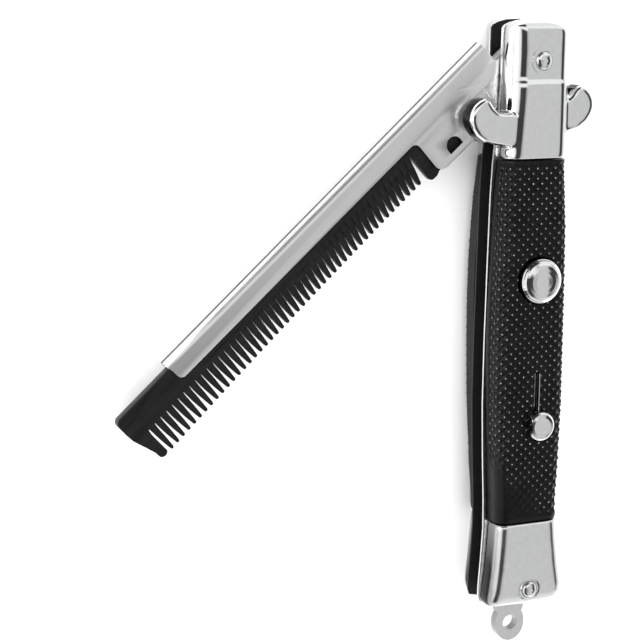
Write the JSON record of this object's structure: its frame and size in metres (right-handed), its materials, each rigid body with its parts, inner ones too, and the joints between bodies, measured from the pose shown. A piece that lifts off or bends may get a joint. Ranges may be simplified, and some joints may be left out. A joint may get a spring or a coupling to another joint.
{
  "type": "folding comb",
  "caption": "Folding pocket comb: a fine-toothed plastic comb in a metal spine swings out of a slotted, checkered black grip with bright end caps.",
  "frame": {"origin": "on the flat back of the grip's rear scale, 56 mm below the comb's pivot", "axes": "+Y along the grip towards the pivot end, +Z out of the front face with the button, +X to the right seen from the front"},
  "size_m": [0.0973, 0.1298, 0.0193],
  "materials": {
    "chrome": "polished",
    "steel": "polished sheet",
    "grip": "checkered, satin",
    "comb": "satin gloss"
  },
  "bodies": {
    "grip": {"front_liner": "steel", "rear_liner": "steel", "back_spacer": "steel", "lanyard_lug": "chrome", "front_top_bolster": "chrome", "rear_top_bolster": "chrome", "front_scale": "grip", "rear_scale": "grip", "front_bottom_bolster": "chrome", "rear_bottom_bolster": "chrome", "pivot_pin": "chrome", "front_bottom_rivet": "chrome", "rear_bottom_rivet": "chrome", "slide_track": "steel"},
    "comb": {"comb_channel": "steel", "comb_teeth": "comb"},
    "button": {"push_button": "chrome"},
    "slider": {"slide_knob": "chrome"}
  },
  "joints": [
    {"name": "comb_hinge", "type": "hinge", "parent": "grip", "child": "comb", "pos_m": [0, 0.056, 0.0084], "axis": [0, 0, -1], "range_deg": [-48, 132]},
    {"name": "button_press", "type": "slide", "parent": "grip", "child": "button", "axis": [0, 0, -1], "range_m": [0, 0.0012], "stiffness_N_per_m": 800},
    {"name": "safety_slide", "type": "slide", "parent": "grip", "child": "slider", "axis": [0, 1, 0], "range_m": [0, 0.0075]}
  ]
}
